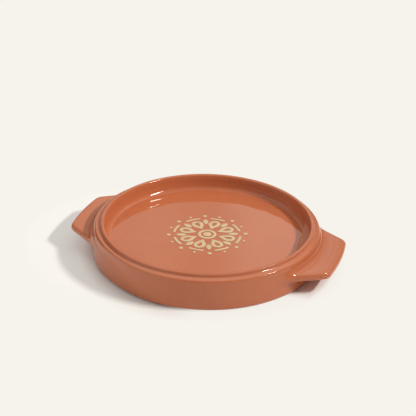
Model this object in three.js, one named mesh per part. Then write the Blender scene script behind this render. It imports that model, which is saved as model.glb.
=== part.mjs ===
// Terracotta baking dish with two lug handles and a cream slip rosette.
// Millimetres, +Z up. The origin is the middle of the foot, on the surface that the dish stands on.
// The handles point along +X and -X.

import * as THREE from 'three';

// Turned body
const BODY_RADIUS = 130;
const BODY_SEGMENTS = 90;
const BASE_ROUND = 5;
const FOOT_INNER_RADIUS = 118;
const FOOT_INNER_ROUND = 2;
const UNDERSIDE_HEIGHT = 15;
const UNDERSIDE_ROUND = 5;
const FLOOR_HEIGHT = 24.5;
const FLOOR_ROUND = 8;
const INNER_WALL_FOOT_RADIUS = 118.2;

// Rim: a low shoulder outside, a raised lip inside
const SHOULDER_HEIGHT = 39.2;
const SHOULDER_ROUND = 3.2;
const RISER_RADIUS = 124;
const RISER_ROUND = 1.2;
const LIP_HEIGHT = 43.5;
const LIP_OUTER_ROUND = 1.6;
const LIP_INNER_RADIUS = 119.4;
const LIP_INNER_ROUND = 1.8;

// Lug handles: a plate with a bowed tip, smoothed into the wall by a fillet all round its root
const LUTING_GAP = 0.3;
const HANDLE_REACH = 159.8;
const HANDLE_TIP_BOW = 260;
const HANDLE_CORNER_RADIUS = 12.5;
const HANDLE_SIDE_ANGLE = THREE.MathUtils.degToRad(32);
const HANDLE_SIDE_X = 140;
const HANDLE_SIDE_Y = 50.6;
const HANDLE_MIDDLE_HEIGHT = 22.8;
const HANDLE_THICKNESS = 8.4;
const HANDLE_EDGE_ROUND = 3.6;
const HANDLE_TOP_FILLET = 8;
const HANDLE_UNDER_FILLET = 6;
const HANDLE_END_RUN = 4.5;
const HANDLE_STATIONS = 44;
const HANDLE_SECTION_STEPS = 22;
const SECTION_TURN_LENGTH = 8;
const LEAST_STRETCH = 0.15;

// Cream slip rosette on the floor
const SLIP_THICKNESS = 0.4;
const SLIP_DISC_RADIUS = 5;
const SLIP_RING_INNER = 7.4;
const SLIP_RING_OUTER = 11;
const FLOWER_FOLD = 8;
const PETAL_START = 13;
const PETAL_LENGTH = 21;
const PETAL_HALF_WIDTH = 7;
const PETAL_EYE_START = 20;
const PETAL_EYE_LENGTH = 10.5;
const PETAL_EYE_HALF_WIDTH = 2.6;
const DROP_POINT_SHARE = 0.3;
const DROP_POINT_WIDTH_SHARE = 0.5;
const DROP_FULLEST_SHARE = 0.62;
const DROP_SIDE_SHARE = 0.22;
const DROP_END_WIDTH_SHARE = 0.55;
const LEAF_START = 24;
const LEAF_LENGTH = 13;
const LEAF_HALF_WIDTH = 3.2;
const ARCH_RADIUS = 38.8;
const ARCH_WIDTH = 3;
const ARCH_HALF_ANGLE = THREE.MathUtils.degToRad(11.5);
const BEAD_CIRCLE_RADIUS = 45;
const BEAD_COUNT = 16;
const BEAD_RADIUS_LARGE = 2.5;
const BEAD_RADIUS_SMALL = 1.7;

// Finishes
const glazedClay = new THREE.MeshStandardMaterial({
  name: 'glazed_clay', color: 0xc47a58, roughness: 0.25, metalness: 0,
});
const creamSlip = new THREE.MeshStandardMaterial({
  name: 'cream_slip', color: 0xd6be96, roughness: 0.4, metalness: 0,
});

// Points of an arc about (cx, cy), from one angle to another, in degrees, both ends included.
function arcPoints(cx, cy, radius, fromDegrees, toDegrees, steps) {
  const points = [];
  for (let i = 0; i <= steps; i += 1) {
    const angle = THREE.MathUtils.degToRad(THREE.MathUtils.lerp(fromDegrees, toDegrees, i / steps));
    points.push(new THREE.Vector2(cx + radius * Math.cos(angle), cy + radius * Math.sin(angle)));
  }
  return points;
}

// Half section of the body, from the middle of the underside, round the foot, the wall and the rim,
// and back to the middle of the floor.
function bodyProfile() {
  const shoulderCentre = BODY_RADIUS - SHOULDER_ROUND;
  const riserCentre = RISER_RADIUS + RISER_ROUND;
  const lipOuterCentre = RISER_RADIUS - LIP_OUTER_ROUND;
  const lipInnerCentre = LIP_INNER_RADIUS + LIP_INNER_ROUND;
  const floorCentre = INNER_WALL_FOOT_RADIUS - FLOOR_ROUND;
  const underCentre = FOOT_INNER_RADIUS - UNDERSIDE_ROUND;
  const footCentre = FOOT_INNER_RADIUS + FOOT_INNER_ROUND;
  const baseCentre = BODY_RADIUS - BASE_ROUND;
  return [
    new THREE.Vector2(0, UNDERSIDE_HEIGHT),
    ...arcPoints(underCentre, UNDERSIDE_HEIGHT - UNDERSIDE_ROUND, UNDERSIDE_ROUND, 90, 0, 4),
    ...arcPoints(footCentre, FOOT_INNER_ROUND, FOOT_INNER_ROUND, 180, 270, 3),
    ...arcPoints(baseCentre, BASE_ROUND, BASE_ROUND, -90, 0, 5),
    ...arcPoints(shoulderCentre, SHOULDER_HEIGHT - SHOULDER_ROUND, SHOULDER_ROUND, 0, 90, 4),
    ...arcPoints(riserCentre, SHOULDER_HEIGHT + RISER_ROUND, RISER_ROUND, 270, 180, 3),
    ...arcPoints(lipOuterCentre, LIP_HEIGHT - LIP_OUTER_ROUND, LIP_OUTER_ROUND, 0, 90, 3),
    ...arcPoints(lipInnerCentre, LIP_HEIGHT - LIP_INNER_ROUND, LIP_INNER_ROUND, 90, 180, 3),
    ...arcPoints(floorCentre, FLOOR_HEIGHT + FLOOR_ROUND, FLOOR_ROUND, 0, -90, 6),
    new THREE.Vector2(0, FLOOR_HEIGHT),
  ];
}

// The body is turned about the vertical axis.
function makeBody() {
  const geometry = new THREE.LatheGeometry(bodyProfile(), BODY_SEGMENTS);
  geometry.rotateX(Math.PI / 2);
  const body = new THREE.Mesh(geometry, glazedClay);
  body.name = 'dish_body';
  return body;
}

// Plan outline of a handle, symmetric about the X axis: a straight side at the side angle, a bowed
// tip and a round corner that touches both.
const side = new THREE.Vector2(Math.sin(HANDLE_SIDE_ANGLE), Math.cos(HANDLE_SIDE_ANGLE));
const sideDistance = side.dot(new THREE.Vector2(HANDLE_SIDE_X, HANDLE_SIDE_Y));
const tipCentreX = HANDLE_REACH - HANDLE_TIP_BOW;
const cornerAlong = sideDistance - HANDLE_CORNER_RADIUS - side.x * tipCentreX;
const cornerAcross = Math.sqrt((HANDLE_TIP_BOW - HANDLE_CORNER_RADIUS) ** 2 - cornerAlong ** 2);
const corner = new THREE.Vector2(
  tipCentreX + cornerAlong * side.x + cornerAcross * side.y,
  cornerAlong * side.y - cornerAcross * side.x,
);
const handleRoot = BODY_RADIUS + LUTING_GAP;

// Distance in plan from the handle's outline, negative inside it.
function planDistance(x, y) {
  const across = Math.abs(y);
  const outX = x - corner.x;
  const outY = across - corner.y;
  const pastTip = (corner.x - tipCentreX) * outY - corner.y * outX > 0;
  const pastSide = outX * side.y - outY * side.x > 0;
  if (pastTip && pastSide) return Math.hypot(outX, outY) - HANDLE_CORNER_RADIUS;
  const toTip = Math.hypot(x - tipCentreX, across) - HANDLE_TIP_BOW;
  return Math.max(toTip, side.x * x + side.y * across - sideDistance);
}

// Distance from the handle's surface, negative in the clay. The plate and the wall are joined by a
// round union, whose radius goes from the lower fillet to the upper one across the plate's thickness.
function clayDistance(radius, angle, height) {
  const out = planDistance(radius * Math.cos(angle), radius * Math.sin(angle)) + HANDLE_EDGE_ROUND;
  const rise = Math.abs(height - HANDLE_MIDDLE_HEIGHT) - HANDLE_THICKNESS / 2 + HANDLE_EDGE_ROUND;
  const inside = Math.min(Math.max(out, rise), 0);
  const plate = Math.hypot(Math.max(out, 0), Math.max(rise, 0)) + inside - HANDLE_EDGE_ROUND;
  const share = (height - HANDLE_MIDDLE_HEIGHT) / HANDLE_THICKNESS + 0.5;
  const fillet = THREE.MathUtils.lerp(
    HANDLE_UNDER_FILLET,
    HANDLE_TOP_FILLET,
    THREE.MathUtils.clamp(share, 0, 1),
  );
  const wall = radius - handleRoot;
  const near = Math.hypot(Math.max(fillet - plate, 0), Math.max(fillet - wall, 0));
  return Math.max(fillet, Math.min(plate, wall)) - near;
}

// Moves a point of an upright section, in the section's own plane, onto the handle's surface.
function settle(point, angle) {
  const step = 0.01;
  const settled = point.clone();
  for (let i = 0; i < 12; i += 1) {
    const gap = clayDistance(settled.x, angle, settled.y);
    const slope = new THREE.Vector2(
      clayDistance(settled.x + step, angle, settled.y) - gap,
      clayDistance(settled.x, angle, settled.y + step) - gap,
    ).divideScalar(step);
    settled.addScaledVector(slope, -gap / slope.lengthSq());
  }
  return settled;
}

// Distance from the axis of the dish to the handle's outline, in the direction of an angle in plan.
function outlineReach(angle) {
  let low = 0;
  let high = 2 * HANDLE_REACH;
  for (let i = 0; i < 40; i += 1) {
    const middle = (low + high) / 2;
    const inside = planDistance(middle * Math.cos(angle), middle * Math.sin(angle)) < 0;
    if (inside) low = middle;
    else high = middle;
  }
  return low;
}

// Height over the plate's edge at which a fillet of the given radius runs out on the wall.
function filletRise(angle, fillet) {
  const out = planDistance(handleRoot * Math.cos(angle), handleRoot * Math.sin(angle));
  const past = Math.max(out + HANDLE_EDGE_ROUND, 0);
  return Math.sqrt((fillet + HANDLE_EDGE_ROUND) ** 2 - past ** 2) - HANDLE_EDGE_ROUND;
}

// Points at equal steps along a line, where a step counts its length and its turn, a radian of which
// counts as the turn length.
// Points of the line that nearly coincide are taken as one.
function spacePoints(wholeLine, steps, turnLength) {
  const end = wholeLine[wholeLine.length - 1];
  const line = [wholeLine[0]];
  wholeLine.forEach((point) => {
    const clear = point.distanceTo(line[line.length - 1]) > LEAST_STRETCH;
    if (clear && point.distanceTo(end) > LEAST_STRETCH) line.push(point);
  });
  line.push(end);
  const marks = [0];
  for (let i = 1; i < line.length; i += 1) {
    const stretch = line[i].clone().sub(line[i - 1]);
    const next = line[Math.min(i + 1, line.length - 1)].clone().sub(line[i]);
    const turn = next.length() > 0 ? stretch.angleTo(next) : 0;
    marks.push(marks[i - 1] + stretch.length() + turnLength * turn);
  }
  const points = [line[0]];
  let i = 1;
  for (let k = 1; k < steps; k += 1) {
    const mark = (marks[marks.length - 1] * k) / steps;
    while (marks[i] < mark) i += 1;
    points.push(line[i - 1].clone().lerp(line[i], (mark - marks[i - 1]) / (marks[i] - marks[i - 1])));
  }
  return [...points, end];
}

// Upright section through a handle at one angle: down the upper fillet, along the plate, round its
// edge, back along the underside and down the lower fillet, with its two ends on the wall.
function handleSection(angle) {
  const reach = Math.max(outlineReach(angle) - handleRoot, 0);
  const shrink = Math.min(1, reach / (HANDLE_TOP_FILLET + HANDLE_EDGE_ROUND));
  const edge = HANDLE_EDGE_ROUND * shrink;
  const half = HANDLE_THICKNESS / 2;
  const top = HANDLE_MIDDLE_HEIGHT + half;
  const bottom = HANDLE_MIDDLE_HEIGHT - half;
  const tip = handleRoot + reach;
  const upper = HANDLE_TOP_FILLET * shrink;
  const lower = HANDLE_UNDER_FILLET * shrink;
  const line = [
    ...arcPoints(0, 0, 1, 180, 270, 24).map((p) => new THREE.Vector2(
      handleRoot + upper * (1 + p.x),
      top + filletRise(angle, HANDLE_TOP_FILLET) * (1 + p.y),
    )),
    ...arcPoints(tip - edge, top - edge, edge, 90, 0, 16),
    ...arcPoints(tip - edge, bottom + edge, edge, 0, -90, 16),
    ...arcPoints(0, 0, 1, 90, 180, 24).map((p) => new THREE.Vector2(
      handleRoot + lower * (1 + p.x),
      bottom - filletRise(angle, HANDLE_UNDER_FILLET) * (1 - p.y),
    )),
  ];
  const settled = line.map((point) => settle(point, angle));
  settled[0] = line[0];
  settled[settled.length - 1] = line[line.length - 1];
  return spacePoints(settled, HANDLE_SECTION_STEPS, SECTION_TURN_LENGTH);
}

// Closed skin over a row of sections that all have the same number of points.
function loftGeometry(sections) {
  const count = sections[0].length;
  const positions = sections.flat().flatMap((point) => point.toArray());
  const indices = [];
  for (let i = 0; i < sections.length - 1; i += 1) {
    for (let j = 0; j < count; j += 1) {
      const a = i * count + j;
      const b = i * count + ((j + 1) % count);
      indices.push(a, b, a + count, b, b + count, a + count);
    }
  }
  const last = (sections.length - 1) * count;
  const outline = sections[0].map(
    (point) => new THREE.Vector2(Math.hypot(point.x, point.y), point.z),
  );
  THREE.ShapeUtils.triangulateShape(outline, []).forEach(([a, b, c]) => {
    indices.push(a, b, c);
    indices.push(last + a, last + c, last + b);
  });
  const geometry = new THREE.BufferGeometry();
  geometry.setAttribute('position', new THREE.Float32BufferAttribute(positions, 3));
  geometry.setIndex(indices);
  geometry.computeVertexNormals();
  return geometry;
}

// A lug handle, lofted through upright sections that fan out from the axis of the dish.
function makeHandle(name, turn) {
  const endAngle = Math.atan2(side.y, side.x) - Math.acos((sideDistance + HANDLE_END_RUN) / handleRoot);
  const sections = [];
  for (let i = 0; i <= HANDLE_STATIONS; i += 1) {
    const angle = THREE.MathUtils.lerp(-endAngle, endAngle, i / HANDLE_STATIONS);
    const station = handleSection(angle).map(
      (point) => new THREE.Vector3(point.x * Math.cos(angle), point.x * Math.sin(angle), point.y),
    );
    sections.push(station);
  }
  const handle = new THREE.Mesh(loftGeometry(sections), glazedClay);
  handle.name = name;
  handle.rotation.z = turn;
  return handle;
}

// Thin layer of slip with the given outline, lying on the floor of the dish.
function slipMesh(name, shape, turn, curveSegments) {
  const geometry = new THREE.ExtrudeGeometry(shape, {
    depth: SLIP_THICKNESS, bevelEnabled: false, curveSegments,
  });
  const mesh = new THREE.Mesh(geometry, creamSlip);
  mesh.name = name;
  mesh.position.z = FLOOR_HEIGHT;
  mesh.rotation.z = turn;
  return mesh;
}

// Drop-shaped loop along +X: pointed near the middle of the rosette, full and round further out.
// Its bezier handles stand at shares of the drop's length and half width.
function drawDrop(path, start, length, halfWidth) {
  const end = start + length;
  const pointX = start + length * DROP_POINT_SHARE;
  const pointY = halfWidth * DROP_POINT_WIDTH_SHARE;
  const fullX = start + length * DROP_FULLEST_SHARE;
  const beforeX = fullX - length * DROP_SIDE_SHARE;
  const afterX = fullX + length * DROP_SIDE_SHARE;
  const endY = halfWidth * DROP_END_WIDTH_SHARE;
  path.moveTo(start, 0);
  path.bezierCurveTo(pointX, -pointY, beforeX, -halfWidth, fullX, -halfWidth);
  path.bezierCurveTo(afterX, -halfWidth, end, -endY, end, 0);
  path.bezierCurveTo(end, endY, afterX, halfWidth, fullX, halfWidth);
  path.bezierCurveTo(beforeX, halfWidth, pointX, pointY, start, 0);
  return path;
}

function petalShape() {
  const shape = drawDrop(new THREE.Shape(), PETAL_START, PETAL_LENGTH, PETAL_HALF_WIDTH);
  const eye = drawDrop(new THREE.Path(), PETAL_EYE_START, PETAL_EYE_LENGTH, PETAL_EYE_HALF_WIDTH);
  shape.holes.push(eye);
  return shape;
}

// Leaf with two pointed ends.
function leafShape() {
  const end = LEAF_START + LEAF_LENGTH;
  const middle = LEAF_START + LEAF_LENGTH / 2;
  const shape = new THREE.Shape();
  shape.moveTo(LEAF_START, 0);
  shape.quadraticCurveTo(middle, -2 * LEAF_HALF_WIDTH, end, 0);
  shape.quadraticCurveTo(middle, 2 * LEAF_HALF_WIDTH, LEAF_START, 0);
  return shape;
}

// Short arch with round ends, concentric with the rosette.
function archShape() {
  const half = ARCH_WIDTH / 2;
  const endX = ARCH_RADIUS * Math.cos(ARCH_HALF_ANGLE);
  const endY = ARCH_RADIUS * Math.sin(ARCH_HALF_ANGLE);
  const shape = new THREE.Shape();
  shape.absarc(0, 0, ARCH_RADIUS + half, -ARCH_HALF_ANGLE, ARCH_HALF_ANGLE, false);
  shape.absarc(endX, endY, half, ARCH_HALF_ANGLE, ARCH_HALF_ANGLE + Math.PI, false);
  shape.absarc(0, 0, ARCH_RADIUS - half, ARCH_HALF_ANGLE, -ARCH_HALF_ANGLE, true);
  shape.absarc(endX, -endY, half, Math.PI - ARCH_HALF_ANGLE, 2 * Math.PI - ARCH_HALF_ANGLE, false);
  return shape;
}

function discShape(x, radius) {
  return new THREE.Shape().absarc(x, 0, radius, 0, 2 * Math.PI, false);
}

function ringShape() {
  const shape = discShape(0, SLIP_RING_OUTER);
  shape.holes.push(new THREE.Path().absarc(0, 0, SLIP_RING_INNER, 0, 2 * Math.PI, true));
  return shape;
}

// The rosette: a disc and a ring, then petals, leaves between them, arches over them and beads.
function makeRosette() {
  const rosette = new THREE.Group();
  const step = (2 * Math.PI) / FLOWER_FOLD;
  rosette.add(slipMesh('slip_disc', discShape(0, SLIP_DISC_RADIUS), 0, 12));
  rosette.add(slipMesh('slip_ring', ringShape(), 0, 18));
  for (let i = 0; i < FLOWER_FOLD; i += 1) {
    rosette.add(slipMesh(`slip_petal_${i + 1}`, petalShape(), i * step, 6));
    rosette.add(slipMesh(`slip_leaf_${i + 1}`, leafShape(), (i + 0.5) * step, 8));
    rosette.add(slipMesh(`slip_arch_${i + 1}`, archShape(), i * step, 3));
  }
  for (let i = 0; i < BEAD_COUNT; i += 1) {
    const radius = i % 2 === 0 ? BEAD_RADIUS_LARGE : BEAD_RADIUS_SMALL;
    const turn = ((i + 1) * 2 * Math.PI) / BEAD_COUNT;
    rosette.add(slipMesh(`slip_bead_${i + 1}`, discShape(BEAD_CIRCLE_RADIUS, radius), turn, 6));
  }
  return rosette;
}

const dish = new THREE.Group();
dish.add(makeBody());
dish.add(makeHandle('handle_right', 0));
dish.add(makeHandle('handle_left', Math.PI));
dish.add(makeRosette());

export default dish;
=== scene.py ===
"""Looks of a glazed terracotta baking dish: turned body, two luted lugs and a cream slip rosette.

Lengths are in metres and angles in degrees, in the frame of the dish: +Z up, the lugs along X and
the origin in the middle of the foot.
"""

from __future__ import annotations

import logging
import math
from contextlib import contextmanager
from dataclasses import dataclass, field
from enum import Enum
from typing import Any, Callable, Iterator

import bmesh
import bpy
from bpy.types import ID, Material, MeshVertex, Node, NodeSocket, Object
from mathutils import Matrix, Vector


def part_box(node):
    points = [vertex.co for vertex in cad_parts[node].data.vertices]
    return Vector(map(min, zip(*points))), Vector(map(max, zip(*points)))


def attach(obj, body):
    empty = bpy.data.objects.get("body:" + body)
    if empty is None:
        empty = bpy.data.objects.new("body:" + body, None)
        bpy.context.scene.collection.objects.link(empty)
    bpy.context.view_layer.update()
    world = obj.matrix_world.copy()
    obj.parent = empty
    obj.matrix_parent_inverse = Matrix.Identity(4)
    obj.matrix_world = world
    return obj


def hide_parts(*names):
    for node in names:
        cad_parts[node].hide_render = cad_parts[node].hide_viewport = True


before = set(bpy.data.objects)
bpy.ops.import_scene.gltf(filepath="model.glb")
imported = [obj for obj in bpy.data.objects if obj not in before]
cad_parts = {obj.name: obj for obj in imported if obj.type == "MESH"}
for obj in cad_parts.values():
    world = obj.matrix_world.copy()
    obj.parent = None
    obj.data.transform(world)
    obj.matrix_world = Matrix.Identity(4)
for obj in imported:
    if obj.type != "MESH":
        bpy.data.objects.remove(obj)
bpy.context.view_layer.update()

BODY = "root"
MM = 0.001
WELD = 0.001 * MM
GLAZE_IOR = 1.5

log = logging.getLogger("baking_dish")

Colour = tuple[float, float, float]
Point = tuple[float, float]
Noise = tuple[float, float]  # Size of a patch, and how many finer layers it has.
Ramp = tuple[float, float]  # Where a smooth step starts, and where it is full.


class Slot(Enum):
    """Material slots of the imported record."""

    CLAY = "glazed_clay"
    SLIP = "cream_slip"


class Pick(Enum):
    """Kinds of mesh element that an edit works on."""

    VERTICES = (True, False, False)
    EDGES = (False, True, False)


# Modelling helpers


@contextmanager
def editing(piece: Object) -> Iterator[None]:
    """Opens a piece in edit mode and closes it again.

    Args:
        piece: The object to edit.
    """
    bpy.ops.object.select_all(action="DESELECT")
    bpy.context.view_layer.objects.active = piece
    piece.select_set(True)
    bpy.ops.object.mode_set(mode="EDIT")
    bpy.context.tool_settings.mesh_select_mode = Pick.VERTICES.value
    yield
    bpy.ops.object.mode_set(mode="OBJECT")


def pick(piece: Object, kind: Pick, test: Callable[[Any], bool]) -> None:
    """Selects the elements of the piece in edit mode that pass a test.

    Args:
        piece: The object that is open in edit mode.
        kind: The kind of element that is tested.
        test: Says whether one bmesh element is picked.
    """
    bpy.ops.mesh.select_all(action="DESELECT")
    bpy.context.tool_settings.mesh_select_mode = kind.value
    mesh = bmesh.from_edit_mesh(piece.data)
    for element in mesh.verts if kind is Pick.VERTICES else mesh.edges:
        if test(element):
            element.select_set(True)
    mesh.select_flush_mode()
    bmesh.update_edit_mesh(piece.data)


def new_piece(name: str) -> Object:
    """Names the object that an operator has just added, and its mesh.

    Args:
        name: The piece's name.

    Returns:
        The object.
    """
    piece = bpy.context.view_layer.objects.active
    piece.name = piece.data.name = name
    return piece


def finish_surface(piece: Object, crease: float) -> None:
    """Merges doubles, turns the faces outwards and shades the piece smooth up to an angle.

    Args:
        piece: The object to finish, which stays selected.
        crease: The angle past which an edge stays sharp.
    """
    with editing(piece):
        bpy.ops.mesh.select_all(action="SELECT")
        bpy.ops.mesh.remove_doubles(threshold=WELD)
        bpy.ops.mesh.normals_make_consistent(inside=False)
    bpy.ops.object.shade_smooth_by_angle(angle=math.radians(crease))


def apply_modifier(piece: Object, kind: str, **settings: Any) -> None:
    """Adds a modifier to a piece and applies it.

    Args:
        piece: The object that it shapes.
        kind: The modifier's type.
        settings: The modifier's own values.
    """
    bpy.context.view_layer.objects.active = piece
    modifier = piece.modifiers.new(kind.lower(), kind)
    for key, value in settings.items():
        setattr(modifier, key, value)
    bpy.ops.object.modifier_apply(modifier=modifier.name)


def arc(centre: Point, radius: float, start: float, end: float, steps: int) -> list[Point]:
    """Points of an arc, both ends included.

    Args:
        centre: The arc's centre.
        radius: Its radius.
        start: The angle of the first point, in degrees.
        end: The angle of the last one.
        steps: How many chords it has.

    Returns:
        The points in order.
    """
    turns = [math.radians(start + (end - start) * i / steps) for i in range(steps + 1)]
    return [(centre[0] + radius * math.cos(t), centre[1] + radius * math.sin(t)) for t in turns]


# Shader helpers


@dataclass
class Number:
    """A shader value. Arithmetic on it adds Math nodes to its tree."""

    sheet: NodeSheet
    socket: NodeSocket

    def __add__(self, other: Scalar) -> Number:
        """Sum."""
        return self.sheet.math("ADD", self, other)

    __radd__ = __add__

    def __sub__(self, other: Scalar) -> Number:
        """Difference."""
        return self.sheet.math("SUBTRACT", self, other)

    def __rsub__(self, other: float) -> Number:
        """Difference from a plain number."""
        return self.sheet.math("SUBTRACT", other, self)

    def __mul__(self, other: Scalar) -> Number:
        """Product."""
        return self.sheet.math("MULTIPLY", self, other)

    __rmul__ = __mul__

    def __abs__(self) -> Number:
        """Size without its sign."""
        return self.sheet.math("ABSOLUTE", self)

    def most(self, other: Scalar) -> Number:
        """The larger of two values."""
        return self.sheet.math("MAXIMUM", self, other)

    def ramp(self, low: float, high: float) -> Number:
        """Smooth step from 0 at low to 1 at high; low may be the larger one."""
        inputs = {"Value": self, "From Min": low, "From Max": high}
        return self.sheet.number("ShaderNodeMapRange", inputs, interpolation_type="SMOOTHSTEP")


Scalar = Number | float


class NodeSheet:
    """The node tree of a material, a lamp or the world, cleared and ready for nodes."""

    def __init__(self, owner: ID) -> None:
        """Turns nodes on and clears the tree.

        Args:
            owner: The material, lamp or world that the tree belongs to.
        """
        owner.use_nodes = True
        self.tree = owner.node_tree
        self.tree.nodes.clear()

    def node(self, kind: str, inputs: dict[Any, Any], **settings: Any) -> Node:
        """Adds a node.

        Args:
            kind: The node's type.
            inputs: Values or links by socket name or number. A node gives its first output.
            settings: The node's own properties, which are set first.

        Returns:
            The node.
        """
        made = self.tree.nodes.new(kind)
        for key, value in settings.items():
            setattr(made, key, value)
        for key, value in inputs.items():
            socket = made.inputs[key]
            if isinstance(value, Number):
                value = value.socket
            elif isinstance(value, Node):
                value = value.outputs[0]
            if isinstance(value, NodeSocket):
                self.tree.links.new(value, socket)
            elif socket.type == "RGBA":
                socket.default_value = (*value, 1.0)
            else:
                socket.default_value = value
        return made

    def number(self, kind: str, inputs: dict[Any, Any], **settings: Any) -> Number:
        """Adds a node and gives its first output as a number."""
        return Number(self, self.node(kind, inputs, **settings).outputs[0])

    def math(self, operation: str, *values: Scalar) -> Number:
        """Adds a Math node on the given values."""
        return self.number("ShaderNodeMath", dict(enumerate(values)), operation=operation)

    def hypot(self, x: Number, y: Number) -> Number:
        """Length of a flat vector."""
        return self.math("SQRT", x * x + y * y)

    def mix(self, share: Scalar, low: Any, high: Any) -> NodeSocket:
        """Mixes two colours: a share of 0 gives the first one and 1 the second."""
        return self.node("ShaderNodeMix", {0: share, 6: low, 7: high}, data_type="RGBA").outputs[2]

    def noise(self, place: NodeSocket, size: float, detail: float) -> Number:
        """Soft noise from 0 to 1, of the given size of patch and number of finer layers."""
        inputs = {"Vector": place, "Scale": 1 / size, "Detail": detail}
        return self.number("ShaderNodeTexNoise", inputs)

    def place(self) -> NodeSocket:
        """Coordinates of the object, which are those of the dish."""
        return self.node("ShaderNodeTexCoord", {}).outputs["Object"]

    def split(self, vector: NodeSocket) -> list[Number]:
        """The three parts of a vector."""
        parts = self.node("ShaderNodeSeparateXYZ", {0: vector}).outputs
        return [Number(self, part) for part in parts]

    def glaze(self, colour: NodeSocket, roughness: Number, relief: Number) -> None:
        """Ends a material's tree in a glossy surface.

        Args:
            colour: Colour of the clay or slip under the glaze.
            roughness: Roughness of the glaze.
            relief: Height of the surface, in metres.
        """
        bump = self.node("ShaderNodeBump", {"Distance": 1.0, "Height": relief})
        inputs = {"Base Color": colour, "Roughness": roughness, "Normal": bump, "IOR": GLAZE_IOR}
        shader = self.node("ShaderNodeBsdfPrincipled", inputs)
        self.node("ShaderNodeOutputMaterial", {"Surface": shader})


# Finishes


@dataclass(frozen=True)
class GlazedClay:
    """Terracotta under a clear gloss glaze, bare under the foot and duller inside on one side."""

    clay: Colour = (0.522, 0.154, 0.069)
    deep: Colour = (0.462, 0.124, 0.053)
    thin: Colour = (0.560, 0.185, 0.088)
    bare: Colour = (0.560, 0.235, 0.135)
    speck: Colour = (0.230, 0.075, 0.040)
    roughness: float = 0.03
    mottle_roughness: float = 0.03
    bare_roughness: float = 0.78
    dry_roughness: float = 0.40
    patches: Noise = (0.045, 3.0)
    patch_ramp: Ramp = (0.35, 0.75)
    patch_share: float = 0.30
    patch_depth: float = 0.10 * MM
    mottle: Noise = (0.006, 4.0)
    mottle_ramp: Ramp = (0.50, 0.80)
    mottle_share: float = 0.28
    specks: Noise = (0.0011, 0.0)
    speck_ramp: Ramp = (0.735, 0.80)
    speck_share: float = 0.55
    grain: Noise = (0.0007, 1.0)
    grain_depth: float = 0.0015 * MM
    turning_pitch: float = 0.0058
    turning_depth: float = 0.006 * MM
    bare_height: Ramp = (0.9 * MM, 0.3 * MM)
    bare_reach: Ramp = (117.0 * MM, 118.5 * MM)
    dry_side: Ramp = (85.0 * MM, 105.0 * MM)
    dry_height: Ramp = (26.0 * MM, 29.0 * MM)
    dry_reach: Ramp = (120.5 * MM, 119.5 * MM)

    def material(self) -> Material:
        """Makes the material.

        Returns:
            The material, in the coordinates of the dish.
        """
        made = bpy.data.materials.new("glazed_clay")
        sheet = NodeSheet(made)
        place = sheet.place()
        x, y, height = sheet.split(place)
        reach = sheet.hypot(x, y)
        patches = sheet.noise(place, *self.patches)
        mottle = sheet.noise(place, *self.mottle)
        specks = sheet.noise(place, *self.specks).ramp(*self.speck_ramp)
        bare = height.ramp(*self.bare_height) * reach.ramp(*self.bare_reach)
        dry = x.ramp(*self.dry_side) * height.ramp(*self.dry_height) * reach.ramp(*self.dry_reach)
        colour = sheet.mix(patches.ramp(*self.patch_ramp) * self.patch_share, self.clay, self.deep)
        colour = sheet.mix(mottle.ramp(*self.mottle_ramp) * self.mottle_share, colour, self.thin)
        colour = sheet.mix(specks * self.speck_share, colour, self.speck)
        colour = sheet.mix(bare, colour, self.bare)
        rough = self.roughness + mottle * self.mottle_roughness
        rough = rough + bare * self.bare_roughness + dry * self.dry_roughness
        rings = sheet.math("SINE", reach * (2 * math.pi / self.turning_pitch))
        relief = rings * self.turning_depth + patches * self.patch_depth
        relief = relief + sheet.noise(place, *self.grain) * self.grain_depth
        sheet.glaze(colour, rough, relief)
        return made


@dataclass(frozen=True)
class CreamSlip:
    """Cream slip brushed on the floor of the dish, under the same glaze."""

    floor: float
    thickness: float
    cream: Colour = (0.650, 0.490, 0.306)
    shade: Colour = (0.560, 0.388, 0.214)
    clay: Colour = (0.600, 0.178, 0.084)
    roughness: float = 0.16
    stroke_roughness: float = 0.06
    patches: Noise = (0.012, 3.0)
    patch_ramp: Ramp = (0.35, 0.75)
    patch_share: float = 0.45
    patch_depth: float = 0.05 * MM
    strokes: Noise = (0.0016, 3.0)
    stroke_ramp: Ramp = (0.55, 0.80)
    stroke_share: float = 0.35
    stroke_depth: float = 0.015 * MM
    edge_ramp: Ramp = (0.75, 0.15)
    edge_share: float = 0.7

    def material(self) -> Material:
        """Makes the material.

        Returns:
            The material, in the coordinates of the dish.
        """
        made = bpy.data.materials.new("cream_slip")
        sheet = NodeSheet(made)
        place = sheet.place()
        height = sheet.split(place)[2]
        patches = sheet.noise(place, *self.patches)
        strokes = sheet.noise(place, *self.strokes)
        worn = patches.ramp(*self.patch_ramp) * self.patch_share
        brushed = strokes.ramp(*self.stroke_ramp) * self.stroke_share
        edge = height.ramp(*(self.floor + share * self.thickness for share in self.edge_ramp))
        colour = sheet.mix(worn, self.cream, self.shade)
        colour = sheet.mix(brushed, colour, self.shade)
        colour = sheet.mix(edge * self.edge_share, colour, self.clay)
        relief = strokes * self.stroke_depth + patches * self.patch_depth
        sheet.glaze(colour, self.roughness + strokes * self.stroke_roughness, relief)
        return made


# Pieces


def place_piece(piece: Object, finish: Material, node: str) -> None:
    """Gives a finished piece its finish and its place on the dish, and reports it.

    Args:
        piece: The finished object.
        finish: Its material.
        node: The CAD node that it stands for.
    """
    piece.data.materials.append(finish)
    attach(piece, BODY)
    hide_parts(node)
    log.info("%s stands for %s with %d faces", piece.name, node, len(piece.data.polygons))


def smooth_step(value: float, start: float, full: float) -> float:
    """Smooth step from 0 at start to 1 at full, which may be the lower one."""
    share = min(max((value - start) / (full - start), 0.0), 1.0)
    return share * share * (3 - 2 * share)


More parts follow.
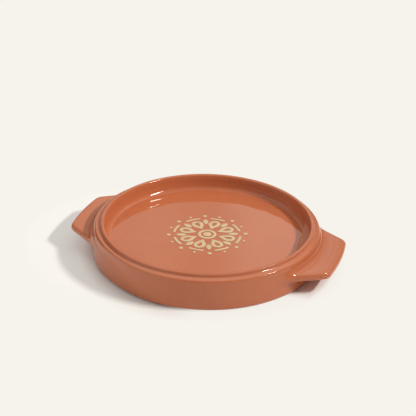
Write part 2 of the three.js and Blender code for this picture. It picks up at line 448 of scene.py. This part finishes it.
@dataclass(frozen=True)
class Swell:
    """A place where the wall stands out a little, or its shoulder stands up, as hands left it."""

    depth: float
    middle: float = 0.0
    full_half_angle: float = 24.0
    half_angle: float = 47.0
    start_radius: float = 124.5 * MM
    full_radius: float = 129.5 * MM

    def push(self, angle: float, radius: float) -> float:
        """How far a point is moved.

        Args:
            angle: Angle of the point in plan, in radians.
            radius: Its distance from the axis of the dish.

        Returns:
            The distance of the move.
        """
        off = abs(math.degrees(angle) - self.middle) % 360
        off = min(off, 360 - off)
        round_share = smooth_step(off, self.half_angle, self.full_half_angle)
        return self.depth * round_share * smooth_step(radius, self.start_radius, self.full_radius)


@dataclass
class Corner:
    """A corner of the body's half section."""

    reach: float
    height: float
    round: float = 0.0


@dataclass
class TurnedBody:
    """The turned body: foot ring, wall, shoulder, raised lip and floor."""

    radius: float
    height: float
    swells: tuple[Swell, ...]
    lifts: tuple[Swell, ...]
    base_round: float = 5.0 * MM
    foot_inner: float = 118.0 * MM
    foot_round: float = 2.0 * MM
    underside: float = 15.0 * MM
    underside_round: float = 5.0 * MM
    floor: float = 24.5 * MM
    floor_round: float = 5.2 * MM
    wall_foot: float = 117.4 * MM
    wall_middle: float = 118.8 * MM
    belly_low: float = 34.5 * MM
    belly_high: float = 38.5 * MM
    belly_round: float = 1.6 * MM
    shoulder: float = 37.8 * MM
    shoulder_rise: float = 2.2 * MM
    shoulder_round: float = 1.5 * MM
    riser: float = 124.0 * MM
    riser_round: float = 1.0 * MM
    lip_outer_round: float = 1.6 * MM
    lip_inner: float = 119.5 * MM
    lip_inner_round: float = 1.8 * MM
    round_segments: int = 6
    turns: int = 288
    ring_spacing: float = 7.0 * MM
    wall_end: float = 34.5 * MM
    rim_start: float = 38.5 * MM
    rim_swell_share: float = 0.15
    hollow: float = 0.06 * MM
    wave: float = 45.0 * MM
    crease: float = 40.0

    def corners(self) -> list[Corner]:
        """The corners from the middle of the underside to the middle of the floor."""
        return [
            Corner(0.0, self.underside),
            Corner(self.foot_inner, self.underside, self.underside_round),
            Corner(self.foot_inner, 0.0, self.foot_round),
            Corner(self.radius, 0.0, self.base_round),
            Corner(self.radius, self.shoulder, self.shoulder_round),
            Corner(self.riser, self.shoulder + self.shoulder_rise, self.riser_round),
            Corner(self.riser, self.height, self.lip_outer_round),
            Corner(self.lip_inner, self.height, self.lip_inner_round),
            Corner(self.wall_middle, self.belly_high, self.belly_round),
            Corner(self.wall_middle, self.belly_low, self.belly_round),
            Corner(self.wall_foot, self.floor, self.floor_round),
            Corner(0.0, self.floor),
        ]

    def trace_section(self) -> Object:
        """Draws the half section as a line of edges with rounded corners.

        Returns:
            The line, in the plane of X and Z.
        """
        corners = self.corners()
        bpy.ops.mesh.primitive_plane_add(size=MM)
        piece = new_piece("turned_body")
        with editing(piece):
            bpy.ops.mesh.select_all(action="SELECT")
            bpy.ops.mesh.merge(type="CENTER")
            bpy.ops.transform.translate(value=(corners[0].reach, 0.0, corners[0].height))
            for before, corner in zip(corners, corners[1:]):
                step = (corner.reach - before.reach, 0.0, corner.height - before.height)
                bpy.ops.mesh.extrude_region_move(TRANSFORM_OT_translate={"value": step})
            rounding = {"segments": self.round_segments, "affect": "VERTICES"}
            for corner in corners:
                if corner.round:
                    spot = Vector((corner.reach, 0.0, corner.height))
                    pick(piece, Pick.VERTICES, lambda vertex: (vertex.co - spot).length < WELD)
                    bpy.ops.mesh.bevel(offset=corner.round, **rounding)
            self.add_rings(piece)
        return piece

    def add_rings(self, piece: Object) -> None:
        """Divides the long straight stretches, so that the turned surface has rings to shape.

        Args:
            piece: The half section, open in edit mode.
        """
        edges = bmesh.from_edit_mesh(piece.data).edges
        lengths = {round(edge.calc_length(), 6) for edge in edges}
        for length in sorted(lengths):
            if length > 2 * self.ring_spacing:
                pick(piece, Pick.EDGES, lambda edge: abs(edge.calc_length() - length) < WELD)
                bpy.ops.mesh.subdivide(number_cuts=int(length / self.ring_spacing))

    def press_by_hand(self, vertex: MeshVertex) -> None:
        """Moves a point as the uneven hand-made wall needs.

        Args:
            vertex: A point of the turned surface.
        """
        radius = vertex.co.xy.length
        angle = math.atan2(vertex.co.y, vertex.co.x)
        rim = smooth_step(vertex.co.z, self.wall_end, self.rim_start)
        push = sum(swell.push(angle, radius) for swell in self.swells)
        push *= 1 - rim * (1 - self.rim_swell_share)
        vertex.co.z += rim * sum(lift.push(angle, radius) for lift in self.lifts)
        if radius and push:
            vertex.co.xy *= 1 + push / radius

    def build(self) -> Object:
        """Turns the half section into the body and presses shallow waves into it.

        Returns:
            The finished mesh object.
        """
        piece = self.trace_section()
        with editing(piece):
            bpy.ops.mesh.select_all(action="SELECT")
            bpy.ops.mesh.spin(steps=self.turns, angle=2 * math.pi, center=(0, 0, 0), axis=(0, 0, 1))
        for vertex in piece.data.vertices:
            self.press_by_hand(vertex)
        finish_surface(piece, self.crease)
        waves = bpy.data.textures.new("hand_waves", "CLOUDS")
        waves.noise_scale = self.wave
        waves.noise_depth = 0
        settings = {"texture_coords": "GLOBAL", "strength": self.hollow, "mid_level": 1.0}
        apply_modifier(piece, "DISPLACE", texture=waves, **settings)
        apply_modifier(piece, "WEIGHTED_NORMAL", keep_sharp=True)
        return piece

    def dress(self, piece: Object, finish: Material) -> None:
        """Gives the body its finish and its place."""
        place_piece(piece, finish, "dish_body")


@dataclass
class LugHandle:
    """A flat lug whose root is smoothed into the wall all round, as luted clay is.

    Its methods take angles in radians, from the middle of the lug.
    """

    wall: float
    reach: float
    swell: Swell
    side_angle: float
    side_half_width: float = 50.4 * MM
    side_reach: float = 140.0 * MM
    turn: float = 0.0
    tip_bow: float = 260.0 * MM
    corner_radius: float = 12.5 * MM
    middle: float = 22.8 * MM
    thickness: float = 8.4 * MM
    edge_round: float = 3.6 * MM
    top_fillet: float = 8.0 * MM
    under_fillet: float = 6.0 * MM
    least_fillet_share: float = 0.5
    root_depth: float = 3.0 * MM
    run_out: float = 2.0
    run_out_sunk: float = 0.1 * MM
    stations: int = 150
    fillet_steps: int = 14
    edge_steps: int = 8
    flat_steps: int = 8
    halvings: int = 40
    settling_steps: int = 12
    probe: float = 0.02 * MM
    least_slope: float = 0.01
    crease: float = 60.0
    side: Point = field(init=False)
    side_distance: float = field(init=False)
    tip_centre: float = field(init=False)
    corner: Point = field(init=False)
    ends: tuple[float, float] = field(init=False)

    def __post_init__(self) -> None:
        """Works out the straight side, the bowed tip, the corner in plan and the two ends."""
        turn = math.radians(self.side_angle)
        self.side = (math.sin(turn), math.cos(turn))
        self.side_distance = self.side[0] * self.side_reach + self.side[1] * self.side_half_width
        self.tip_centre = self.reach - self.tip_bow
        along = self.side_distance - self.corner_radius - self.side[0] * self.tip_centre
        across = math.sqrt((self.tip_bow - self.corner_radius) ** 2 - along**2)
        self.corner = (
            self.tip_centre + along * self.side[0] + across * self.side[1],
            along * self.side[1] - across * self.side[0],
        )
        self.ends = (self.end_angle(-1.0), self.end_angle(1.0))

    def plan_distance(self, x: float, y: float) -> float:
        """Distance in plan from the lug's outline.

        Args:
            x: Place along the middle of the lug.
            y: Place across it.

        Returns:
            The distance, negative inside the outline.
        """
        y = abs(y)
        out = (x - self.corner[0], y - self.corner[1])
        tip = (self.corner[0] - self.tip_centre, self.corner[1])
        past_tip = tip[0] * out[1] - tip[1] * out[0]
        past_side = out[0] * self.side[1] - out[1] * self.side[0]
        if past_tip > 0 and past_side > 0:
            return math.hypot(*out) - self.corner_radius
        to_tip = math.hypot(x - self.tip_centre, y) - self.tip_bow
        return max(to_tip, self.side[0] * x + self.side[1] * y - self.side_distance)

    def wall_reach(self, angle: float) -> float:
        """Radius of the wall at an angle from the middle of the lug."""
        return self.wall + self.swell.push(angle + math.radians(self.turn), self.wall)

    def joint_reach(self, angle: float) -> float:
        """Radius of the wall that the lug is smoothed into, which sinks in at the ends."""
        past = math.degrees(abs(angle) - abs(self.ends[angle > 0]))
        return self.wall_reach(angle) - smooth_step(past, -self.run_out, 0.0) * self.run_out_sunk

    def distance(self, radius: float, angle: float, height: float) -> float:
        """Distance from the surface of the lug smoothed into the wall.

        Args:
            radius: Distance from the axis of the dish.
            angle: Angle from the middle of the lug.
            height: Height above the table.

        Returns:
            The distance, negative inside the clay.
        """
        half = self.thickness / 2
        flat = self.plan_distance(radius * math.cos(angle), radius * math.sin(angle))
        out = flat + self.edge_round
        rise = abs(height - self.middle) - half + self.edge_round
        slab = math.hypot(max(out, 0.0), max(rise, 0.0)) + min(max(out, rise), 0.0)
        slab -= self.edge_round
        share = min(max((height - self.middle) / half * 0.5 + 0.5, 0.0), 1.0)
        fillet = self.under_fillet + (self.top_fillet - self.under_fillet) * share
        wall = radius - self.joint_reach(angle)
        near = math.hypot(max(fillet - slab, 0.0), max(fillet - wall, 0.0))
        return max(fillet, min(slab, wall)) - near

    def end_angle(self, way: float) -> float:
        """Angle at which the smoothed clay runs out along the wall.

        Args:
            way: -1 for the end at negative angles and 1 for the other.

        Returns:
            The signed angle from the middle of the lug.
        """
        facing = math.atan2(self.side[1], self.side[0])
        angle = facing
        for _ in range(self.settling_steps):
            wall = self.wall_reach(way * angle)
            angle = facing - math.acos(min((self.side_distance + self.top_fillet) / wall, 1.0))
        return way * angle

    def outline_reach(self, angle: float) -> float:
        """Distance from the axis of the dish to the outline in plan.

        Args:
            angle: The direction, from the middle of the lug.

        Returns:
            The distance, found by halving.
        """
        low, high = 0.0, 2 * self.reach
        for _ in range(self.halvings):
            middle = (low + high) / 2
            inside = self.plan_distance(middle * math.cos(angle), middle * math.sin(angle)) < 0
            low, high = (middle, high) if inside else (low, middle)
        return low

    def rough_section(self, angle: float) -> list[Point]:
        """Upright section at one angle before it is settled on the smoothed surface.

        Args:
            angle: The direction, from the middle of the lug.

        Returns:
            Points of reach and height, as many at every angle.
        """
        wall = self.wall_reach(angle)
        stand = max(self.outline_reach(angle) - wall, 0.0)
        shrink = min(1.0, stand / (self.top_fillet + self.edge_round))
        edge = self.edge_round * shrink
        shrink = max(shrink, self.least_fillet_share)
        upper, lower = self.top_fillet * shrink, self.under_fillet * shrink
        half = self.thickness / 2
        top, bottom, tip = self.middle + half, self.middle - half, wall + stand
        rows = arc((wall + upper, top + upper), upper, 180, 270, self.fillet_steps)
        rows += self.flat_points(wall + upper, max(tip - edge, wall + upper), top)
        rows += arc((tip - edge, top - edge), edge, 90, 0, self.edge_steps)
        rows += arc((tip - edge, bottom + edge), edge, 0, -90, self.edge_steps)
        rows += self.flat_points(max(tip - edge, wall + lower), wall + lower, bottom)
        rows += arc((wall + lower, bottom - lower), lower, 90, 180, self.fillet_steps)
        return rows

    def flat_points(self, start: float, end: float, height: float) -> list[Point]:
        """Points between the two ends of a flat stretch, at equal steps."""
        shares = [i / self.flat_steps for i in range(1, self.flat_steps)]
        return [(start + (end - start) * share, height) for share in shares]

    def settle(self, radius: float, angle: float, height: float) -> Point:
        """Moves a point of a section, in its own upright plane, onto the smoothed surface.

        Args:
            radius: The point's distance from the axis of the dish.
            angle: The section's angle.
            height: The point's height.

        Returns:
            The settled distance and height.
        """
        for _ in range(self.settling_steps):
            gap = self.distance(radius, angle, height)
            out = (self.distance(radius + self.probe, angle, height) - gap) / self.probe
            up = (self.distance(radius, angle, height + self.probe) - gap) / self.probe
            slope = out * out + up * up
            if slope < self.least_slope:
                break
            radius -= gap * out / slope
            height -= gap * up / slope
        return radius, height

    def section(self, angle: float) -> list[Point]:
        """Section that is settled on the surface.

        Args:
            angle: The direction, from the middle of the lug.

        Returns:
            Its points, with the first and the last sunk into the wall.
        """
        rows = [self.settle(radius, angle, height) for radius, height in self.rough_section(angle)]
        first, last = ((end[0] - self.root_depth, end[1]) for end in (rows[0], rows[-1]))
        return [first, *rows, last]

    def build(self, name: str) -> Object:
        """Wraps a grid over the row of sections and closes it at the root and the ends.

        Args:
            name: The piece's name.

        Returns:
            The finished mesh object.
        """
        first, last = self.ends
        angles = [first + (last - first) * i / self.stations for i in range(self.stations + 1)]
        sections = [self.section(angle) for angle in angles]
        count = len(sections[0]) - 1
        bpy.ops.mesh.primitive_grid_add(x_subdivisions=self.stations, y_subdivisions=count, size=1)
        piece = new_piece(name)
        for vertex in piece.data.vertices:
            i = round((vertex.co.x + 0.5) * self.stations)
            j = round((vertex.co.y + 0.5) * count)
            distance, height = sections[i][j]
            angle = angles[i] + math.radians(self.turn)
            vertex.co = (distance * math.cos(angle), distance * math.sin(angle), height)
        with editing(piece):
            pick(piece, Pick.EDGES, lambda edge: edge.is_boundary and self.at_root(edge))
            bpy.ops.mesh.bridge_edge_loops()
            pick(piece, Pick.EDGES, lambda edge: edge.is_boundary)
            bpy.ops.mesh.edge_face_add()
        finish_surface(piece, self.crease)
        return piece

    def at_root(self, edge: bmesh.types.BMEdge) -> bool:
        """Whether an edge lies along the root, inside the wall."""
        return all(vertex.co.xy.length < self.wall - self.root_depth / 2 for vertex in edge.verts)

    def dress(self, piece: Object, finish: Material, node: str) -> None:
        """Gives a lug its finish and its place."""
        place_piece(piece, finish, node)


@dataclass(frozen=True)
class Knot:
    """A point of a slip outline, with the two handles that bend the line through it."""

    spot: Point
    before: Point
    after: Point


@dataclass
class SlipRosette:
    """An eightfold rosette of slip: disc, ring, petals, leaves, arches and a circle of beads."""

    floor: float
    thickness: float
    fold: int = 8
    sunk: float = 0.05 * MM
    soft_edge: float = 0.14 * MM
    disc_radius: float = 5.0 * MM
    ring_inner: float = 7.4 * MM
    ring_outer: float = 11.0 * MM
    petal_start: float = 13.0 * MM
    petal_length: float = 21.0 * MM
    petal_half_width: float = 7.0 * MM
    eye_start: float = 20.0 * MM
    eye_length: float = 10.5 * MM
    eye_half_width: float = 2.6 * MM
    drop_point_share: float = 0.3
    drop_point_width_share: float = 0.5
    drop_fullest_share: float = 0.62
    drop_side_share: float = 0.22
    drop_end_width_share: float = 0.55
    leaf_start: float = 24.0 * MM
    leaf_length: float = 13.0 * MM
    leaf_half_width: float = 3.2 * MM
    arch_radius: float = 38.8 * MM
    arch_width: float = 3.0 * MM
    arch_half_angle: float = 11.5
    bead_circle: float = 45.0 * MM
    bead_count: int = 16
    bead_radii: tuple[float, float] = (2.5 * MM, 1.7 * MM)
    curve_steps: int = 12
    edge_steps: int = 2
    crease: float = 50.0

    def drop(self, start: float, length: float, half_width: float) -> list[Knot]:
        """Drop-shaped loop along +X, pointed near the middle of the rosette.

        Args:
            start: Distance of its point from the middle.
            length: Its length.
            half_width: Half its greatest width.

        Returns:
            The loop's knots.
        """
        end = start + length
        point = (start + length * self.drop_point_share, half_width * self.drop_point_width_share)
        full = start + length * self.drop_fullest_share
        pull = length * self.drop_side_share
        blunt = half_width * self.drop_end_width_share
        return [
            Knot((start, 0.0), point, (point[0], -point[1])),
            Knot((full, -half_width), (full - pull, -half_width), (full + pull, -half_width)),
            Knot((end, 0.0), (end, -blunt), (end, blunt)),
            Knot((full, half_width), (full + pull, half_width), (full - pull, half_width)),
        ]

    def leaf(self) -> list[Knot]:
        """Leaf with two pointed ends, along +X.

        Returns:
            The loop's knots.
        """
        start, end = self.leaf_start, self.leaf_start + self.leaf_length
        third = self.leaf_length / 3
        bulge = self.leaf_half_width * 4 / 3
        return [
            Knot((start, 0.0), (start + third, bulge), (start + third, -bulge)),
            Knot((end, 0.0), (end - third, -bulge), (end - third, bulge)),
        ]

    def sweep(self, centre: Point, radius: float, start: float, end: float) -> list[Knot]:
        """Knots of an arc.

        Args:
            centre: The arc's centre.
            radius: Its radius.
            start: The angle of its first knot, in degrees.
            end: The angle of its last knot.

        Returns:
            Enough knots that none turns by more than a right angle.
        """
        steps = max(1, math.ceil(abs(end - start) / 90))
        step = math.radians(end - start) / steps
        pull = 4 / 3 * math.tan(step / 4) * radius
        knots = []
        for i, (x, y) in enumerate(arc(centre, radius, start, end, steps)):
            turn = math.radians(start) + step * i
            lean = (-math.sin(turn) * pull, math.cos(turn) * pull)
            knots.append(Knot((x, y), (x - lean[0], y - lean[1]), (x + lean[0], y + lean[1])))
        return knots

    def circle(self, radius: float, reach: float = 0.0) -> list[Knot]:
        """Closed circle at a distance along +X from the middle of the rosette."""
        return self.sweep((reach, 0.0), radius, 0.0, 360.0)[:-1]

    def arch(self) -> list[Knot]:
        """Short arch with round ends, concentric with the rosette.

        Returns:
            The loop's knots.
        """
        half, spread = self.arch_width / 2, self.arch_half_angle
        turn = math.radians(spread)
        end = (self.arch_radius * math.cos(turn), self.arch_radius * math.sin(turn))
        outer = self.sweep((0.0, 0.0), self.arch_radius + half, -spread, spread)
        cap = self.sweep(end, half, spread, spread + 180)
        inner = self.sweep((0.0, 0.0), self.arch_radius - half, spread, -spread)
        foot = self.sweep((end[0], -end[1]), half, 180 - spread, 360 - spread)
        return self.join(outer, cap, inner, foot)

    def join(self, *stretches: list[Knot]) -> list[Knot]:
        """Joins stretches end to end into one closed loop.

        Args:
            stretches: Runs of knots, each of which starts where the one before ends.

        Returns:
            The loop's knots.
        """
        loop: list[Knot] = []
        for stretch, after in zip(stretches, stretches[1:] + stretches[:1]):
            last = stretch[-1]
            loop += [*stretch[1:-1], Knot(last.spot, last.before, after[0].after)]
        return loop

    def lay(self, name: str, *loops: list[Knot]) -> Object:
        """Makes a soft-edged layer of slip from flat outlines.

        Args:
            name: The piece's name.
            loops: The outline and any holes in it.

        Returns:
            The finished mesh object, on the floor of the dish.
        """
        bpy.ops.object.select_all(action="DESELECT")
        bpy.ops.curve.primitive_bezier_circle_add(radius=MM)
        rise = (self.thickness + self.sunk) / 2
        curve = new_piece(name).data
        curve.dimensions = "2D"
        curve.fill_mode = "BOTH"
        curve.resolution_u = self.curve_steps
        curve.bevel_depth = self.soft_edge
        curve.bevel_resolution = self.edge_steps
        curve.offset = -self.soft_edge
        curve.extrude = rise - self.soft_edge
        curve.splines.clear()
        for loop in loops:
            spline = curve.splines.new("BEZIER")
            spline.bezier_points.add(len(loop) - 1)
            spline.use_cyclic_u = True
            for point, knot in zip(spline.bezier_points, loop):
                point.handle_left_type = point.handle_right_type = "FREE"
                point.co = (*knot.spot, 0.0)
                point.handle_left = (*knot.before, 0.0)
                point.handle_right = (*knot.after, 0.0)
        bpy.ops.object.convert(target="MESH")
        piece = new_piece(name)
        piece.data.transform(Matrix.Translation((0.0, 0.0, self.floor - self.sunk + rise)))
        finish_surface(piece, self.crease)
        return piece

    def build(self, finish: Material) -> None:
        """Makes, dresses and places every slip shape.

        Args:
            finish: The material of the slip.
        """
        self.dress(self.lay("disc", self.circle(self.disc_radius)), finish)
        ring = (self.circle(self.ring_outer), self.circle(self.ring_inner))
        self.dress(self.lay("ring", *ring), finish)
        petal = self.drop(self.petal_start, self.petal_length, self.petal_half_width)
        eye = self.drop(self.eye_start, self.eye_length, self.eye_half_width)
        step = 360 / self.fold
        whole = [(i + 1, i * step) for i in range(self.fold)]
        between = [(i + 1, (i + 0.5) * step) for i in range(self.fold)]
        repeated = [
            ("petal", [petal, eye], whole),
            ("leaf", [self.leaf()], between),
            ("arch", [self.arch()], whole),
        ]
        for first, radius in enumerate(self.bead_radii):
            numbers = range(first, self.bead_count, len(self.bead_radii))
            turns = [(i + 1, (i + 1) * 360 / self.bead_count) for i in numbers]
            repeated.append(("bead", [self.circle(radius, self.bead_circle)], turns))
        for kind, loops, turns in repeated:
            pattern = self.lay(f"{kind}_pattern", *loops)
            for number, turn in turns:
                copy = pattern.copy()
                copy.data = pattern.data.copy()
                copy.name = copy.data.name = f"{kind}_{number}"
                bpy.context.scene.collection.objects.link(copy)
                copy.data.transform(Matrix.Rotation(math.radians(turn), 4, "Z"))
                self.dress(copy, finish)
            bpy.data.objects.remove(pattern)

    def dress(self, piece: Object, finish: Material) -> None:
        """Gives a slip shape its finish and its place."""
        place_piece(piece, finish, f"slip_{piece.name}")


# Stage, light and camera


@dataclass
class Table:
    """The plain pale surface that the dish stands on.

    It takes shade in an oval round the dish, less of it on the lamp's side, and is as plain as the
    backdrop outside it.
    """

    backdrop: Colour
    paint: Colour = (0.855, 0.861, 0.886)
    drop: float = 0.05 * MM
    radius: float = 3.0
    sides: int = 96
    oval_middle: float = -0.030
    oval_half: Point = (0.182, 0.146)
    oval_fade: Ramp = (1.10, 1.0)
    glow: float = 0.30
    glow_reach: Ramp = (0.126, 0.152)
    lit_glow: float = 0.85
    lit_side: Ramp = (-0.010, 0.040)
    lit_front: Ramp = (-0.045, -0.065)
    lug_side: Ramp = (0.060, 0.100)
    past_lug: Ramp = (0.145, 0.154)

    def build(self) -> None:
        """Lays the table."""
        bpy.ops.object.select_all(action="DESELECT")
        bpy.ops.mesh.primitive_circle_add(vertices=self.sides, radius=self.radius, fill_type="NGON")
        table = new_piece("table")
        table.data.transform(Matrix.Translation((0.0, 0.0, -self.drop)))
        table.data.materials.append(self.material())
        log.info("table laid")

    def material(self) -> Material:
        """Pale matt paint, lightened so that only the dish's shade shows on it.

        Returns:
            The material.
        """
        made = bpy.data.materials.new("table_paint")
        sheet = NodeSheet(made)
        rays = sheet.node("ShaderNodeLightPath", {})
        kinds = ("Is Camera Ray", "Is Glossy Ray", "Is Transmission Ray")
        seen, glossy, sent = (Number(sheet, rays.outputs[kind]) for kind in kinds)
        direct = seen.most(glossy).most(sent)
        colour = sheet.mix(direct, self.backdrop, self.paint)
        paint = sheet.node("ShaderNodeBsdfDiffuse", {"Color": colour})
        plain = sheet.node("ShaderNodeEmission", {"Color": self.backdrop})
        x, y, _ = sheet.split(sheet.place())
        reach = sheet.hypot(x, y)
        past_lug = x.ramp(*self.lug_side) * reach.ramp(*self.past_lug)
        lit = (x.ramp(*self.lit_side) * y.ramp(*self.lit_front)).most(past_lug) * self.lit_glow
        shaded = reach.ramp(*self.glow_reach) * (1 - x.ramp(*self.lug_side))
        glow = (shaded * self.glow).most(lit)
        across = (x - self.oval_middle) * (1 / self.oval_half[0])
        oval = sheet.hypot(across, y * (1 / self.oval_half[1]))
        fade = (1 - oval.ramp(*self.oval_fade) * (1 - glow)) * direct
        shader = sheet.node("ShaderNodeMixShader", {0: fade, 1: paint, 2: plain})
        sheet.node("ShaderNodeOutputMaterial", {"Surface": shader})
        return made


@dataclass(frozen=True)
class SkyPatch:
    """A soft bright place in the light round the dish."""

    azimuth: float
    elevation: float
    half_width: float
    half_height: float
    strength: float
    soft_share: float = 0.7

    def value(self, sheet: NodeSheet, x: Number, y: Number, elevation: Number) -> Number:
        """Strength of the patch in each direction.

        Args:
            sheet: The world's node tree.
            x: First part of the direction.
            y: Second part.
            elevation: Its angle above the horizon, in degrees.

        Returns:
            The patch's strength there, 0 outside it.
        """
        turn = math.radians(self.azimuth)
        ahead = x * math.cos(turn) + y * math.sin(turn)
        aside = y * math.cos(turn) - x * math.sin(turn)
        off = abs(sheet.math("ARCTAN2", aside, ahead)) * math.degrees(1)
        over = abs(elevation - self.elevation)
        core = 1 - self.soft_share
        wide = off.ramp(self.half_width, self.half_width * core)
        return wide * over.ramp(self.half_height, self.half_height * core) * self.strength


@dataclass
class StudioLight:
    """A dome of soft light, brighter overhead and in a few patches, and one key lamp."""

    backdrop: Colour
    patches: tuple[SkyPatch, ...]
    tone: Colour = (1.0, 0.965, 0.875)
    low_sky: float = 0.05
    high_sky: float = 0.45
    sky_ramp: Ramp = (5.0, 55.0)
    key_share: float = 0.52
    key_spot: Vector = field(default_factory=lambda: Vector((0.885, 0.02, 0.86)))
    key_size: Point = (0.28, 0.08)

    def build(self) -> None:
        """Makes the world and the key lamp."""
        world = bpy.data.worlds.new("soft_sky")
        bpy.context.scene.world = world
        sheet = NodeSheet(world)
        x, y, up = sheet.split(sheet.node("ShaderNodeTexCoord", {}).outputs["Generated"])
        low, high = (math.sin(math.radians(angle)) for angle in self.sky_ramp)
        strength = self.low_sky + up.ramp(low, high) * (self.high_sky - self.low_sky)
        elevation = sheet.math("ARCSINE", up) * math.degrees(1)
        for patch in self.patches:
            strength = strength + patch.value(sheet, x, y, elevation)
        soft = sheet.node("ShaderNodeBackground", {"Color": self.tone, "Strength": strength})
        plain = sheet.node("ShaderNodeBackground", {"Color": self.backdrop})
        seen = sheet.node("ShaderNodeLightPath", {}).outputs["Is Camera Ray"]
        shader = sheet.node("ShaderNodeMixShader", {0: seen, 1: soft, 2: plain})
        sheet.node("ShaderNodeOutputWorld", {"Surface": shader})
        self.add_key()
        log.info("light set")

    def add_key(self) -> None:
        """Adds the key lamp, whose strength rises with distance, so it lights the table evenly."""
        bpy.ops.object.light_add(type="AREA", location=self.key_spot)
        key = bpy.context.view_layer.objects.active
        key.name = "key_light"
        key.data.shape = "RECTANGLE"
        key.data.size, key.data.size_y = self.key_size
        key.data.color = self.tone
        slant = self.key_spot.z / self.key_spot.length
        key.data.energy = self.key_share * math.pi**2 / (slant * self.key_spot.length)
        key.rotation_mode = "QUATERNION"
        key.rotation_quaternion = self.key_spot.to_track_quat("Z", "Y")
        sheet = NodeSheet(key.data)
        rise = sheet.node("ShaderNodeLightFalloff", {"Strength": 1.0}).outputs
        strength = Number(sheet, rise["Constant"]) * Number(sheet, rise["Linear"])
        lamp = sheet.node("ShaderNodeEmission", {"Strength": strength})
        sheet.node("ShaderNodeOutputLight", {"Surface": lamp})


@dataclass
class PhotoCamera:
    """The camera at the photograph's viewing angle. Pixels are those of a square frame."""

    frame_pixels: float = 416.0
    focal_pixels: float = 1200.0
    sensor: float = 36.0
    turn: float = 18.40
    height: float = 27.491
    roll: float = 1.371
    distance: float = 1.4006
    target: Vector = field(default_factory=lambda: Vector((0.0, 0.0, 26.0 * MM)))
    target_pixel: Point = (-0.777, 25.20)

    def build(self) -> None:
        """Makes the camera and sets it as the scene's."""
        turn, rise, roll = (math.radians(a) for a in (self.turn, self.height, self.roll))
        level = Vector((math.cos(turn), math.sin(turn), 0.0))
        ahead = Vector(
            (-math.sin(turn) * math.cos(rise), math.cos(turn) * math.cos(rise), -math.sin(rise))
        )
        upright = level.cross(ahead)
        right = math.cos(roll) * level + math.sin(roll) * upright
        up = math.cos(roll) * upright - math.sin(roll) * level
        aside, down = (pixels / self.focal_pixels for pixels in self.target_pixel)
        ray = (ahead + right * aside - up * down).normalized()
        bpy.ops.object.camera_add(location=self.target - ray * self.distance)
        camera = bpy.context.view_layer.objects.active
        camera.name = "photo_camera"
        camera.rotation_mode = "QUATERNION"
        camera.rotation_quaternion = Matrix((right, up, -ahead)).transposed().to_quaternion()
        camera.data.sensor_width = self.sensor
        camera.data.lens = self.sensor * self.focal_pixels / self.frame_pixels
        bpy.context.scene.camera = camera
        log.info("camera set")


def main() -> None:
    """Builds and dresses the dish, then its stage."""
    logging.basicConfig(level=logging.INFO, format="%(name)s: %(message)s")
    backdrop: Colour = (0.921, 0.896, 0.838)
    body_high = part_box("dish_body")[1]
    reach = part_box("handle_right")[1].x
    slip_low, slip_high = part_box("slip_disc")
    thickness = slip_high.z - slip_low.z
    clay = GlazedClay().material()

    left_swell = Swell(depth=3.0 * MM, middle=190.0)
    right_swell = Swell(depth=1.0 * MM, middle=5.0)
    left_lift = Swell(depth=1.8 * MM, middle=200.0, full_half_angle=25.0, half_angle=60.0)
    body = TurnedBody(body_high.x, body_high.z, (left_swell, right_swell), (left_lift,))
    body.dress(body.build(), clay)

    right_lug = LugHandle(body.radius, reach, right_swell, side_angle=29.5)
    right_lug.dress(right_lug.build("lug_right"), clay, "handle_right")
    left_lug = LugHandle(
        body.radius, reach, left_swell, turn=180.0, side_angle=34.5, side_half_width=50.7 * MM
    )
    left_lug.dress(left_lug.build("lug_left"), clay, "handle_left")

    rosette = SlipRosette(body.floor, thickness)
    rosette.build(CreamSlip(body.floor, thickness).material())

    Table(backdrop).build()
    patches = (
        SkyPatch(108.4, 30.0, half_width=40.0, half_height=22.0, strength=0.35),
        SkyPatch(104.4, 30.0, half_width=4.0, half_height=22.0, strength=0.5),
        SkyPatch(112.4, 30.0, half_width=3.5, half_height=22.0, strength=0.15),
        SkyPatch(108.4, 66.0, half_width=70.0, half_height=26.0, strength=1.2),
        SkyPatch(63.0, 45.0, half_width=25.0, half_height=20.0, strength=0.6),
        SkyPatch(215.0, 22.0, half_width=50.0, half_height=24.0, strength=1.1),
    )
    StudioLight(backdrop, patches).build()
    PhotoCamera().build()
    bpy.context.scene.view_settings.view_transform = "Standard"


if __name__ == "__main__":
    main()
